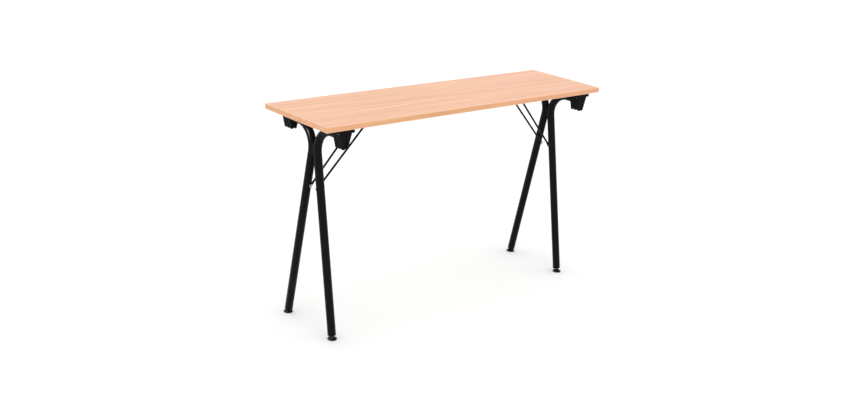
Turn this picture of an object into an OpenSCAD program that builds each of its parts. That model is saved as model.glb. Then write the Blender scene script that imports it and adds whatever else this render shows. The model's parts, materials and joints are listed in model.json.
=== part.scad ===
// Folding table: a veneer-faced board on two folding end frames of bent round tube.
// Origin on the floor under the middle of the top. X runs along the length, Y to the rear, Z up.
// Every piece of an end is drawn for the right end and mirrored to the left.

/* [Table top] */
// Length of the top over its edge bands
top_length = 1250; // [1180:10:1500]
// Depth of the top over its edge bands
top_depth = 340; // [320:10:600]
// Height of the top surface above the floor
table_height = 740; // [700:5:860]
// Thickness of the particle board
core_thick = 16.4; // [14:0.2:25]
// Thickness of the beech laminate on the board
laminate_thick = 0.8; // [0.5:0.1:1.2]
// Thickness of the balancing sheet under the board
backing_thick = 0.8; // [0.5:0.1:1.2]
// Thickness of the edge bands
band_thick = 2; // [1.5:0.5:4]
// Radius on the long outer corners of the edge bands
band_round = 1.2; // [0.5:0.1:1.5]

/* [Leg frames] */
// Outside diameter of the leg tube
tube_d = 28; // [25:0.5:32]
// Wall of the leg tube
tube_wall = 1.5; // [1.2:0.1:2]
// Distance from the end of the top to the plane of its leg frame
frame_inset = 80; // [70:5:150]
// Distance between the tube axes of one frame at the floor
foot_spread = 258; // [220:2:320]
// Centre line radius of the bend near the top of each tube
bend_radius = 75; // [60:1:90]
// Distance from the underside of the board down to the fold axis
pivot_drop = 26; // [24:1:30]
// Gap that the weld bridges between the two tubes
weld_gap = 0.2; // [0.1:0.1:0.6]
// Length of each weld bead
weld_length = 46; // [30:1:60]
// Radius of each weld bead
weld_radius = 4; // [3:0.5:5]

/* [Corner blocks] */
// Length of the block's flange along the table
flange_length = 60; // [58:1:80]
// Depth of the block's flange across the table
flange_depth = 54; // [50:1:70]
// Thickness of the flange
flange_thick = 11; // [8:0.5:12]
// Width of the block body under the flange
body_top_width = 45; // [42:1:50]
// Width of the block body at its lower end
body_low_width = 20; // [16:1:30]
// Depth of the block body under the flange
body_top_depth = 46; // [42:1:48]
// Depth of the block body at its lower end
body_low_depth = 42; // [36:1:44]
// Height of the whole block
block_height = 65; // [60:1:80]
// Distance from the flange to the long edge of the top
block_edge_gap = 3; // [2:1:20]
// Length of tube that the block holds
pivot_grip = 34; // [28:1:36]
// Number of prongs that the slots leave along the lower end
prong_count = 3; // [2:1:4]
// Width of the moulded flutes and of the slots in the lower end
flute_width = 4; // [2:0.2:4.6]
// Depth of the moulded flutes
flute_depth = 2; // [0.8:0.2:2.4]
// Height of the slots in the lower end
slot_height = 9; // [4:1:12]

/* [Stays] */
// Diameter of the stay's round wire
stay_wire_d = 7; // [6:0.5:8]
// Height of the bolts that hold the stay to its frame
stay_bolt_height = 490; // [450:5:520]
// Distance from the frame's plane to the cross bar, along the table
stay_run = 205; // [180:5:230]
// Distance from the underside of the board down to the cross bar's axis
bar_drop = 10; // [8:0.5:14]
// Distance between the wire axes where they meet the cross bar
stay_top_width = 54; // [48:1:70]
// Inside bend of the wire at the cross bar, on its centre line
stay_bend = 12; // [10:1:16]
// Thickness of the flattened eye
eye_thick = 3; // [2:0.5:4]
// Radius of the flattened eye
eye_radius = 6; // [5:0.5:8]
// Length of the flattened strap beyond the eye
eye_strap = 16; // [13:1:24]
// Diameter of the screw's shoulder in the eye
stay_screw_d = 6; // [5:0.5:8]
// Height that the threaded insert stands off its tube
insert_proud = 2.4; // [2:0.1:4]

/* [Stay catches] */
// Thickness of the catch plate
catch_thick = 2; // [1.5:0.5:3]
// Width of the catch plate across the table
catch_width = 26; // [20:1:30]
// Length of the catch plate behind its stop wall
catch_length = 34; // [28:1:50]
// Thickness of the catch's leaf spring
leaf_thick = 1; // [0.6:0.1:1.2]
// Width of the leaf spring
leaf_width = 12; // [8:1:14]

/* [Feet] */
// Diameter of the glide pad
pad_d = 31; // [28:1:36]
// Height of the pad's rim
pad_rim = 4.5; // [3:0.5:6]
// Height of the pad with its hub
pad_height = 10; // [8:0.5:11]
// Distance along the leg from the floor to the tube's end
foot_gap = 16; // [15:1:24]
// Diameter of the levelling stem
stem_d = 8; // [6:1:10]
// Length of the levelling stem
stem_length = 36; // [30:1:45]
// Length of the plug inside the tube
plug_length = 30; // [24:1:40]

/* [Fits and screws] */
// Radial clearance of shafts that turn or slide
run_fit = 0.06; // [0.03:0.01:0.1]
// Gap between pieces that are fixed together but stay separate
seat_gap = 0.05; // [0.02:0.01:0.1]
// Gap between faces that pass each other
side_gap = 0.3; // [0.3:0.1:0.6]
// Shank diameter of the wood screws
wood_screw_d = 3.4; // [3:0.2:4.5]
// Length of the block's wood screws under the head
wood_screw_length = 23; // [20:1:25]
// Depth that the catch's wood screws reach into the board
catch_screw_grip = 14; // [10:1:15]
// Head diameter of the wood screws
wood_head_d = 6; // [5:0.5:7]
// Head height of the wood screws
wood_head_h = 2.2; // [1.6:0.2:3]

/* [Hidden] */
$fn = 64;
tiny = 0.01;
bend_step = 0.06;
bend_lap = 0.5;
ENDS = ["left", "right"];
top_thick = core_thick + laminate_thick + backing_thick;
under_z = table_height - top_thick;
pivot_z = under_z - pivot_drop;
frame_x = top_length / 2 - frame_inset;
tube_r = tube_d / 2;
tube_in_r = tube_r - tube_wall;

// The bend's centre lies level with the point where the two tubes touch.
bend_y = tube_r + weld_gap / 2 + bend_radius;
bend_z = pivot_z - bend_radius;
foot_y = foot_spread / 2;
foot_to_bend = norm([foot_y - bend_y, bend_z]);
leg_lean = atan2(foot_y - bend_y, bend_z) + asin(bend_radius / foot_to_bend);
leg_run = sqrt(foot_to_bend * foot_to_bend - bend_radius * bend_radius);

// Corner blocks
block_y = top_depth / 2 - block_edge_gap - flange_depth / 2;
flange_z = under_z - flange_thick;
block_z = under_z - block_height;
body_height = block_height - flange_thick;
flare_x = atan2((body_top_width - body_low_width) / 2, body_height);
flare_y = atan2((body_top_depth - body_low_depth) / 2, body_height);
cap_rim = 2;
cap_length = 14;
screw_edge = 10;
tube_end_y = block_y - body_top_depth / 2 + pivot_grip;
bore_end_y = tube_end_y + cap_rim + side_gap * 3;
block_screw_x = (flange_length + body_top_width) / 4;
block_screw_y = flange_depth / 2 - screw_edge;

// Stays: the bolt sits on the inner face of the tube, the bar under the board.
stay_r = stay_wire_d / 2;
bar_z = under_z - bar_drop;
bar_x = frame_x - stay_run;
stay_length = norm([stay_run, bar_z - stay_bolt_height]);
stay_rise = atan2(bar_z - stay_bolt_height, stay_run);
tube_face_y = foot_y - stay_bolt_height * tan(leg_lean) - tube_r / cos(leg_lean);
insert_face_y = tube_face_y - insert_proud;
eye_y = insert_face_y - side_gap - eye_thick / 2;
stay_splay = atan2(stay_top_width / 2 - eye_y, stay_length);
bend_turn = 90 + stay_splay;
bend_reach = stay_bend * tan(bend_turn / 2);
strap_lap = 4;
strap_half = eye_radius * 0.75;
screw_head_h = 3;
head_overhang = 2.4;
screw_head_r = stay_screw_d / 2 + head_overhang;
insert_wall = 1.6;
insert_r = stay_screw_d / 2 + insert_wall;
insert_flange = 3;
insert_flange_r = insert_r + insert_flange;
insert_depth = 10;

// Stay catches
hook_lip = 2.4;
window_gap = 1;
nose_reach = 12;
tip_reach = 21;
nose_lift = 1.4;
nose_run = 4;
tip_drop = 1;
catch_wall_x = bar_x + stay_r + side_gap;
catch_low_z = bar_z - stay_r - side_gap - catch_thick;
catch_end_x = catch_wall_x + catch_thick + catch_length;
leaf_top_z = under_z - catch_thick;
leaf_nose_x = bar_x - nose_reach;
leaf_tip_x = bar_x - tip_reach;
leaf_nose_z = bar_z + nose_lift;
catch_screw_inset = [9, 8];
catch_screw_x = [catch_wall_x + catch_thick + catch_screw_inset[0],
    catch_end_x - catch_screw_inset[1]];

// Feet
pad_r = pad_d / 2;
pad_round = 1.5;
hub_low_r = 11;
hub_top_r = 7;
stem_start = 5;
plug_rim = 2;

wood_screw_r = wood_screw_d / 2;
bead_x = tube_r * 0.62;

WOOD = "#F3BE97";
BAND = "#E4A880";
BOARD = "#B99B74";
SHEET = "#CFC6B8";
BLACK = "#26262A";
PLASTIC = "#1B1B1D";
ZINC = "#B9BCC0";
SPRING = "#8C8F94";

// ---- helpers ----

// Draws its children on the right end, or mirrored on the left.
module on_end(end) {
    if (end == "left") mirror([1, 0, 0]) children();
    else children();
}

// Draws its children on the rear side, or mirrored on the front.
module on_side(side) {
    if (side == "front") mirror([0, 1, 0]) children();
    else children();
}

module both_sides() {
    children();
    mirror([0, 1, 0]) children();
}

// Places its children on a leg's axis, with Z along the leg from the floor.
module along_leg() {
    translate([frame_x, foot_y, 0]) rotate([leg_lean, 0, 0]) children();
}

// A rod of the given length along +Y
module y_rod(radius, length) {
    rotate([-90, 0, 0]) cylinder(r = radius, h = length);
}

// The line of one leg tube: straight leg, bend and the level end that turns in its block.
// The bend is a hair thinner than the straight lengths, which reach a little way over it.
module leg_line(radius, over = 0) {
    along_leg() translate([0, 0, foot_gap - over])
        cylinder(r = radius, h = leg_run - foot_gap + over + bend_lap);
    translate([frame_x, bend_y, bend_z]) rotate([90, 0, 90]) rotate([0, 0, 90])
        rotate_extrude(angle = 90 + leg_lean) translate([bend_radius, 0])
            circle(radius - bend_step);
    translate([frame_x, bend_y - bend_lap, pivot_z])
        y_rod(radius, tube_end_y - bend_y + bend_lap + over);
}

// ---- table top ----

// Section of an edge band, with both outer corners rounded
module band_profile() {
    intersection() {
        square([band_thick, top_thick]);
        union() {
            square([band_thick - band_round, top_thick]);
            translate([0, band_round]) square([band_thick, top_thick - 2 * band_round]);
            for (z = [band_round, top_thick - band_round])
                translate([band_thick - band_round, z]) circle(band_round);
        }
    }
}

// An edge band whose outer face looks along +Y, centred on X
module band(length) {
    translate([-length / 2, -band_thick, under_z]) rotate([90, 0, 90])
        linear_extrude(length) band_profile();
}

module board_blank(thick, z) {
    long = top_length - 2 * band_thick;
    deep = top_depth - 2 * band_thick;
    translate([-long / 2, -deep / 2, z]) cube([long, deep, thick]);
}

// Positions of the wood screws of one corner block
module block_screw_places() {
    for (x = [-1, 1], y = [-1, 1])
        translate([frame_x + x * block_screw_x, block_y + y * block_screw_y, 0]) children();
}

module catch_screw_places() {
    for (x = catch_screw_x) translate([x, 0, 0]) children();
}

module all_block_screws() {
    for (end = ENDS) on_end(end) both_sides() block_screw_places() children();
}

module all_catch_screws() {
    for (end = ENDS) on_end(end) catch_screw_places() children();
}

module board_core() color(BOARD) difference() {
    board_blank(core_thick, under_z + backing_thick);
    all_block_screws() translate([0, 0, flange_z])
        cylinder(r = wood_screw_r + seat_gap, h = wood_screw_length + seat_gap);
    all_catch_screws() translate([0, 0, leaf_top_z - leaf_thick])
        cylinder(r = wood_screw_r + seat_gap, h = catch_thick + catch_screw_grip + seat_gap);
}

module top_laminate() color(WOOD) board_blank(laminate_thick, table_height - laminate_thick);

module backing_sheet() color(SHEET) difference() {
    board_blank(backing_thick, under_z);
    all_block_screws() translate([0, 0, under_z - 1])
        cylinder(r = wood_screw_r + seat_gap, h = backing_thick + 2);
    all_catch_screws() translate([0, 0, under_z - 1])
        cylinder(r = wood_screw_r + seat_gap, h = backing_thick + 2);
}

module rear_edge_band() color(BAND) translate([0, top_depth / 2, 0]) band(top_length);

module front_edge_band() color(BAND) mirror([0, 1, 0]) translate([0, top_depth / 2, 0])
    band(top_length);

module right_edge_band() color(BAND) translate([top_length / 2, 0, 0]) rotate([0, 0, -90])
    band(top_depth - 2 * band_thick);

module left_edge_band() color(BAND) mirror([1, 0, 0]) translate([top_length / 2, 0, 0])
    rotate([0, 0, -90]) band(top_depth - 2 * band_thick);

// ---- corner blocks ----

// A wedge-shaped body, drawn as one flared outline crossed with another
module block_body() {
    intersection() {
        rotate([90, 0, 0]) linear_extrude(body_top_depth + 2, center = true)
            polygon([[-body_top_width / 2, body_height], [-body_low_width / 2, 0],
                [body_low_width / 2, 0], [body_top_width / 2, body_height]]);
        rotate([90, 0, 90]) linear_extrude(body_top_width + 2, center = true)
            polygon([[-body_top_depth / 2, body_height], [-body_low_depth / 2, 0],
                [body_low_depth / 2, 0], [body_top_depth / 2, body_height]]);
    }
}

// Places, along the row of prongs, of the grooves between them
module prong_gaps() {
    pitch = body_low_depth / prong_count;
    for (i = [1 : prong_count - 1]) translate([0, i * pitch - body_low_depth / 2, 0]) children();
}

// A groove that leans with a face whose foot lies along X = 0
module flute(flare) {
    rotate([0, flare, 0]) translate([-flute_depth, -flute_width / 2, -slot_height])
        cube([2 * flute_depth, flute_width, body_height + slot_height - 2]);
}

// Moulded flutes that follow the flare of the four faces
module block_flutes() {
    for (turn = [0, 180]) rotate(turn) {
        prong_gaps() translate([body_low_width / 2, 0, 0]) flute(flare_x);
        rotate(90) translate([body_low_depth / 2, 0, 0]) flute(flare_y);
    }
}

// Slots that leave the lower end as a row of short prongs
module block_slots() {
    prong_gaps() translate([-body_top_width, -flute_width / 2, -1])
        cube([2 * body_top_width, flute_width, slot_height + 1]);
    translate([-flute_width / 2, -body_top_depth, -1])
        cube([flute_width, 2 * body_top_depth, slot_height / 2 + 1]);
}

module block(end, side) color(PLASTIC) on_end(end) on_side(side) difference() {
    union() {
        translate([frame_x, block_y, block_z]) difference() {
            block_body();
            block_flutes();
            block_slots();
        }
        translate([frame_x - flange_length / 2, block_y - flange_depth / 2, flange_z])
            cube([flange_length, flange_depth, flange_thick]);
    }
    translate([frame_x, block_y - flange_depth, pivot_z])
        y_rod(tube_r + run_fit, bore_end_y - block_y + flange_depth);
    block_screw_places() translate([0, 0, flange_z - 1])
        cylinder(r = wood_screw_r + seat_gap, h = flange_thick + 2);
}

// A pan-head wood screw that points up, its head's upper face at z = 0
module wood_screw(length) {
    translate([0, 0, -wood_head_h]) cylinder(r = wood_head_d / 2, h = wood_head_h);
    translate([0, 0, -tiny]) cylinder(r = wood_screw_r, h = length + tiny);
}

module block_screws() color(ZINC) all_block_screws() translate([0, 0, flange_z])
    wood_screw(wood_screw_length);

// ---- stay catches ----

// Side view of the catch: plate, stop wall and the lip under the bar's outer half
module catch_profile() {
    wall = catch_wall_x + catch_thick;
    polygon([[catch_wall_x, under_z], [catch_end_x, under_z],
        [catch_end_x, under_z - catch_thick], [wall, under_z - catch_thick],
        [wall, catch_low_z], [catch_wall_x - hook_lip, catch_low_z],
        [catch_wall_x - hook_lip, catch_low_z + catch_thick],
        [catch_wall_x, catch_low_z + catch_thick]]);
}

module side_view_plate(width) {
    translate([0, width / 2, 0]) rotate([90, 0, 0]) linear_extrude(width) children();
}

module catch(end) color(ZINC) on_end(end) difference() {
    side_view_plate(catch_width) catch_profile();
    translate([catch_wall_x - window_gap, -leaf_width / 2 - window_gap,
        leaf_top_z - leaf_thick - window_gap])
        cube([catch_thick + 2 * window_gap, leaf_width + 2 * window_gap,
            catch_thick + leaf_thick + 2 * window_gap]);
    catch_screw_places() translate([0, 0, leaf_top_z - 1])
        cylinder(r = wood_screw_r + seat_gap, h = catch_thick + 2);
}

// Leaf spring over the bar, with a nose that the bar snaps past
module catch_leaf(end) color(SPRING) on_end(end) difference() {
    side_view_plate(leaf_width) polygon([
        [catch_end_x, leaf_top_z], [leaf_nose_x + nose_run, leaf_top_z],
        [leaf_nose_x, leaf_nose_z + leaf_thick], [leaf_tip_x, leaf_top_z - tip_drop],
        [leaf_tip_x, leaf_top_z - tip_drop - leaf_thick], [leaf_nose_x, leaf_nose_z],
        [leaf_nose_x + nose_run + leaf_thick / 2, leaf_top_z - leaf_thick],
        [catch_end_x, leaf_top_z - leaf_thick]]);
    catch_screw_places() translate([0, 0, leaf_top_z - leaf_thick - 1])
        cylinder(r = wood_screw_r + seat_gap, h = leaf_thick + 2);
}

module catch_screws() color(ZINC) all_catch_screws() translate([0, 0, leaf_top_z - leaf_thick])
    wood_screw(catch_thick + catch_screw_grip);

// ---- leg frames ----

module leg_tube(end, side) color(BLACK) on_end(end) on_side(side) difference() {
    leg_line(tube_r);
    leg_line(tube_in_r, 1);
    translate([frame_x, insert_face_y, stay_bolt_height])
        y_rod(insert_r + seat_gap, tube_r + insert_proud);
}

// Beads in the two grooves beside the line where the tubes touch
module weld_beads(end) color(BLACK) on_end(end) difference() {
    for (s = [-1, 1])
        translate([frame_x + s * bead_x, 0, bend_z - weld_length / 2])
            cylinder(r = weld_radius, h = weld_length);
    both_sides() leg_line(tube_r);
}

// Plastic caps in the level ends of the tubes, inside the blocks
module pivot_caps(end) color(PLASTIC) on_end(end) both_sides() {
    translate([frame_x, tube_end_y, pivot_z]) y_rod(tube_r, cap_rim);
    translate([frame_x, tube_end_y - cap_length, pivot_z])
        y_rod(tube_in_r - seat_gap, cap_length + tiny);
}

// Threaded inserts for the stay's screws, with a flat face towards the eye
module stay_inserts(end) color(ZINC) on_end(end) both_sides() difference() {
    translate([frame_x, insert_face_y, stay_bolt_height]) {
        y_rod(insert_r, insert_proud + insert_depth);
        difference() {
            y_rod(insert_flange_r, tube_r / 2 + insert_proud);
            translate([-frame_x, -insert_face_y, -stay_bolt_height]) leg_line(tube_r);
        }
    }
    translate([frame_x, insert_face_y - 1, stay_bolt_height])
        y_rod(stay_screw_d / 2 + seat_gap, insert_proud + insert_depth);
}

// Shoulder screws: dome head, shoulder through the eye, thread in the insert
module stay_screws(end) color(ZINC) on_end(end) both_sides()
    translate([frame_x, 0, stay_bolt_height]) {
        translate([0, eye_y - eye_thick / 2 - side_gap - screw_head_h, 0])
            y_rod(screw_head_r, screw_head_h);
        translate([0, eye_y - eye_thick / 2 - side_gap - tiny, 0])
            y_rod(stay_screw_d / 2, eye_thick + 2 * side_gap + insert_depth);
    }

// Plugs in the lower ends of the tubes, threaded for the levelling stems
module foot_plugs(end) color(PLASTIC) on_end(end) both_sides() along_leg() difference() {
    union() {
        translate([0, 0, foot_gap - plug_rim]) cylinder(r = tube_r, h = plug_rim);
        translate([0, 0, foot_gap - tiny]) cylinder(r = tube_in_r - seat_gap, h = plug_length);
    }
    cylinder(r = stem_d / 2 + run_fit, h = foot_gap + plug_length + 1);
}

// ---- stays ----

// One half of the stay in its own plane: X runs from the eye to the cross bar.
module stay_half() {
    bend_start = stay_length / cos(stay_splay) - bend_reach;
    strap_end = eye_strap - strap_lap;
    half_bar = stay_top_width / 2 - bend_reach;
    translate([0, eye_y, 0]) rotate([0, 0, stay_splay]) translate([strap_end, 0, 0])
        rotate([0, 90, 0]) cylinder(r = stay_r, h = bend_start - strap_end + bend_lap);
    translate([stay_length - stay_bend, half_bar, 0])
        rotate_extrude(angle = bend_turn) translate([stay_bend, 0]) circle(stay_r - bend_step);
    translate([stay_length, -tiny, 0]) y_rod(stay_r, half_bar + tiny + bend_lap);
    translate([0, eye_y - eye_thick / 2, 0]) y_rod(eye_radius, eye_thick);
    translate([0, eye_y - eye_thick / 2, -strap_half])
        cube([eye_strap, eye_thick, 2 * strap_half]);
}

module stay(end) color(BLACK) on_end(end)
    translate([frame_x, 0, stay_bolt_height]) rotate([0, 180 + stay_rise, 0]) difference() {
        both_sides() stay_half();
        translate([0, -stay_top_width, 0]) y_rod(stay_screw_d / 2 + run_fit, 2 * stay_top_width);
    }

// ---- feet ----

module stem(end, side) color(ZINC) on_end(end) on_side(side) along_leg()
    translate([0, 0, stem_start]) cylinder(r = stem_d / 2, h = stem_length);

// A pad that lies flat on the floor, with a hub that holds the leaning stem
module pad(end, side) color(PLASTIC) on_end(end) on_side(side) difference() {
    translate([frame_x, foot_y, 0]) rotate_extrude() polygon([[0, 0], [pad_r - pad_round, 0],
        [pad_r, pad_round], [pad_r, pad_rim - pad_round], [pad_r - pad_round, pad_rim],
        [hub_low_r, pad_rim], [hub_top_r, pad_height], [0, pad_height]]);
    along_leg() translate([0, 0, stem_start - seat_gap])
        cylinder(r = stem_d / 2 + seat_gap, h = stem_length);
}

board_core();
top_laminate();
backing_sheet();
front_edge_band();
rear_edge_band();
left_edge_band();
right_edge_band();
block("left", "front");  // left_front_block
block("left", "rear");  // left_rear_block
block("right", "front");  // right_front_block
block("right", "rear");  // right_rear_block
block_screws();
catch("left");  // left_catch
catch("right");  // right_catch
catch_leaf("left");  // left_catch_leaf
catch_leaf("right");  // right_catch_leaf
catch_screws();
leg_tube("left", "front");  // left_front_tube
leg_tube("left", "rear");  // left_rear_tube
leg_tube("right", "front");  // right_front_tube
leg_tube("right", "rear");  // right_rear_tube
weld_beads("left");  // left_weld_beads
weld_beads("right");  // right_weld_beads
pivot_caps("left");  // left_pivot_caps
pivot_caps("right");  // right_pivot_caps
stay_inserts("left");  // left_stay_inserts
stay_inserts("right");  // right_stay_inserts
stay_screws("left");  // left_stay_screws
stay_screws("right");  // right_stay_screws
foot_plugs("left");  // left_foot_plugs
foot_plugs("right");  // right_foot_plugs
stay("left");  // left_stay
stay("right");  // right_stay
stem("left", "front");  // left_front_stem
stem("left", "rear");  // left_rear_stem
stem("right", "front");  // right_front_stem
stem("right", "rear");  // right_rear_stem
pad("left", "front");  // left_front_pad
pad("left", "rear");  // left_rear_pad
pad("right", "front");  // right_front_pad
pad("right", "rear");  // right_rear_pad
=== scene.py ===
"""Folding table with a beech laminate top on two folding end frames of bent tube.

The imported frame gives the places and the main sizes. A piece is modelled for the right
end and the rear side, and mirrored to its other places.
"""
import json
import math

import bmesh
import bpy
from mathutils import Matrix, Vector


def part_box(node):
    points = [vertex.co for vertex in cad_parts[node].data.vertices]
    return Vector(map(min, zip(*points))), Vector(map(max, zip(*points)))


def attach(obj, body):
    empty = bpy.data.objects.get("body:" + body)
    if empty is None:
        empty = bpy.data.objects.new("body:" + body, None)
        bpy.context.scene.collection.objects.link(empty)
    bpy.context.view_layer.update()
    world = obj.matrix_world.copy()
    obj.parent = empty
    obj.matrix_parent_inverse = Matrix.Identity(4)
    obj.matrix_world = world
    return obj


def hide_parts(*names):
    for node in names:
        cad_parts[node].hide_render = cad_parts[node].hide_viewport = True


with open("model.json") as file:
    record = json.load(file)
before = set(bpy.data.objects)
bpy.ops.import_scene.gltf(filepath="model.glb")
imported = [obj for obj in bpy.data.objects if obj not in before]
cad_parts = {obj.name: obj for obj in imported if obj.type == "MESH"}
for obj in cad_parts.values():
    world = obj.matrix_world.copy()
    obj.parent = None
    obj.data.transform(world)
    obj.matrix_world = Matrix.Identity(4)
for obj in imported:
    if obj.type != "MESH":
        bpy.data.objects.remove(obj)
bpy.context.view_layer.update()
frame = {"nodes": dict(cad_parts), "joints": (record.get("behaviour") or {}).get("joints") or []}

bl_info = {
    "name": "Folding Table",
    "version": (1, 0, 0),
    "blender": (4, 5, 0),
    "location": "3D View > Sidebar > Folding Table",
    "description": "Models a folding table round its packed frame and sets it on a stage",
    "category": "Add Mesh",
}

# ---- places that the frame gives ----

ENDS = {"right": 1, "left": -1}
SIDES = {"rear": 1, "front": -1}
MM = 0.001
JOINTS = {joint["name"]: joint for joint in frame["joints"]}
FRAME_X, _, PIVOT_Z = JOINTS["right_fold"]["pos_m"]
BOLT_Z = JOINTS["right_stay_swing"]["pos_m"][2]
TOP_LOW, TOP_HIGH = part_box("front_edge_band")[0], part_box("rear_edge_band")[1]
UNDER_Z = TOP_LOW.z
TUBE_LOW, TUBE_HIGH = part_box("right_rear_tube")
TUBE_RADIUS = round((TUBE_HIGH.x - TUBE_LOW.x) / 2, 4)
FOOT_Y = sum(corner.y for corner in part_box("right_rear_pad")) / 2
PAD_RADIUS = (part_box("right_rear_pad")[1].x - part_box("right_rear_pad")[0].x) / 2
BLOCK_LOW, BLOCK_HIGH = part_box("right_rear_block")
BLOCK_Y = (BLOCK_LOW.y + BLOCK_HIGH.y) / 2
BLOCK_SCREW_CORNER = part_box("block_screws")[1]
STAY_LOW, STAY_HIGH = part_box("right_stay")
INSERT_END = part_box("right_stay_inserts")[1].y
CATCH_LOW, CATCH_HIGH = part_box("right_catch")
LEAF_LOW, LEAF_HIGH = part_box("right_catch_leaf")
WELD_LOW, WELD_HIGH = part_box("right_weld_beads")

RUN_FIT = 0.06 * MM
SEAT_GAP = 0.05 * MM
SIDE_GAP = 0.3 * MM
SHARP = math.radians(35)
BOLT_RADIUS = 3 * MM
SCREW_CORE = 1.7 * MM
SCREW_HEAD = 3 * MM
BLOCK_SCREW_LENGTH = 23 * MM
CATCH_SCREW_LENGTH = 16 * MM
CATCH_LIP = 2.4 * MM


# ---- sizes and colours that a user would change ----


def length(name, description, default):
    """A size in metres for a property group, shown in the scene's unit"""
    return bpy.props.FloatProperty(
        name=name, description=description, default=default, min=0, precision=4, unit="LENGTH"
    )


def colour(name, description, default):
    """A linear colour for a property group"""
    return bpy.props.FloatVectorProperty(
        name=name, description=description, default=default, size=3, min=0, max=1, subtype="COLOR"
    )


class TableSizes(bpy.types.PropertyGroup):
    """Sizes of the table's pieces that the frame doesn't give"""

    arris: length("Arris", "Rounding on the long corners of the edge bands", 1.2 * MM)
    tube_radius: length("Tube radius", "Outside radius of the leg tube", TUBE_RADIUS)
    tube_wall: length("Tube wall", "Wall of the leg tube", 1.5 * MM)
    bend_radius: length("Leg bend", "Centre line radius of the bend in a leg", 75 * MM)
    weld_gap: length("Weld gap", "Gap between the two tubes at the weld", 0.2 * MM)
    foot_gap: length("Foot gap", "Distance along the leg from the floor to the tube", 16 * MM)
    wire_radius: length("Wire radius", "Radius of the stay's wire", 3.5 * MM)
    stay_bend: length("Stay bend", "Centre line radius of the stay's corners", 12 * MM)
    stay_top_width: length("Stay width", "Distance between the wires at the cross bar", 54 * MM)
    eye_radius: length("Eye radius", "Radius of the stay's flattened eye", 6 * MM)
    eye_thick: length("Eye thickness", "Thickness of the stay's flattened eye", 3 * MM)
    insert_length: length("Insert", "Length of a stay's threaded insert", 12.4 * MM)
    flange_thick: length("Flange", "Thickness of a corner block's flange", 11 * MM)
    flute_width: length("Flute width", "Width of the flutes and slots of a block", 4.4 * MM)
    flute_depth: length("Flute depth", "Depth of the moulded flutes of a block", 2 * MM)
    slot_height: length("Slot height", "Height of the slots under a block", 9 * MM)
    catch_thick: length("Catch plate", "Thickness of the catch plate", 2 * MM)
    leaf_thick: length("Leaf", "Thickness of the catch's leaf spring", 1 * MM)
    stem_radius: length("Stem radius", "Radius of the levelling stem", 4 * MM)
    thread_pitch: length("Thread pitch", "Pitch of the levelling stem's thread", 1.25 * MM)
    tube_sides: bpy.props.IntProperty(
        name="Tube sides", description="Faces round a leg tube", default=48, min=12
    )


class TableColours(bpy.types.PropertyGroup):
    """Colours of the table's finishes"""

    beech: colour("Beech", "Light ground of the beech laminate", (0.865, 0.490, 0.288))
    beech_deep: colour("Beech grain", "Deeper tone of the laminate's grain", (0.720, 0.320, 0.150))
    band: colour("Edge band", "Ground of the edge bands", (0.760, 0.405, 0.205))
    band_deep: colour("Band grain", "Deeper tone of the edge bands", (0.620, 0.280, 0.125))
    # Lighter colour of the bands' arrises: partly the scraped band, partly a painted highlight on
    # the top arris and a painted floor reflection on the bottom one
    band_arris_scrape_and_highlight: colour("Band arris", "Scraped corners of the edge bands", (0.880, 0.560, 0.370))
    chips: colour("Particle board", "Wood chips of the core", (0.520, 0.350, 0.190))
    backing: colour("Backing", "Balancing sheet under the board", (0.520, 0.460, 0.390))
    coat: colour("Powder coat", "Black powder coat of the frames", (0.0040, 0.0040, 0.0046))
    wire: colour("Wire lacquer", "Black lacquer of the stays", (0.0038, 0.0038, 0.0042))
    plastic: colour("Plastic", "Black moulded plastic", (0.0040, 0.0041, 0.0045))
    zinc: colour("Zinc", "Bright zinc on screws and catches", (0.520, 0.530, 0.550))
    spring: colour("Spring steel", "Tempered steel of the leaf springs", (0.300, 0.295, 0.290))
    floor: colour("Floor", "Plain floor of the stage", (0.985, 0.985, 0.985))


def sizes():
    """The sizes as they are set now"""
    return bpy.context.scene.table_sizes


def colours():
    """The colours as they are set now"""
    return bpy.context.scene.table_colours


# ---- finishes ----


class Value:
    """A socket in a finish; arithmetic on it adds the Math nodes"""

    def __init__(self, finish, socket):
        self.finish, self.socket = finish, socket

    def math(self, operation, *values):
        """A Math node on these values"""
        return self.finish.add(
            "ShaderNodeMath", {"operation": operation}, dict(enumerate(values))
        )

    def __add__(self, other):
        return self.math("ADD", self, other)

    def __mul__(self, other):
        return self.math("MULTIPLY", self, other)

    def __sub__(self, other):
        return self.math("SUBTRACT", self, other)

    def __rsub__(self, other):
        return self.math("SUBTRACT", other, self)

    def __abs__(self):
        return self.math("ABSOLUTE", self)

    __radd__ = __add__


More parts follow.
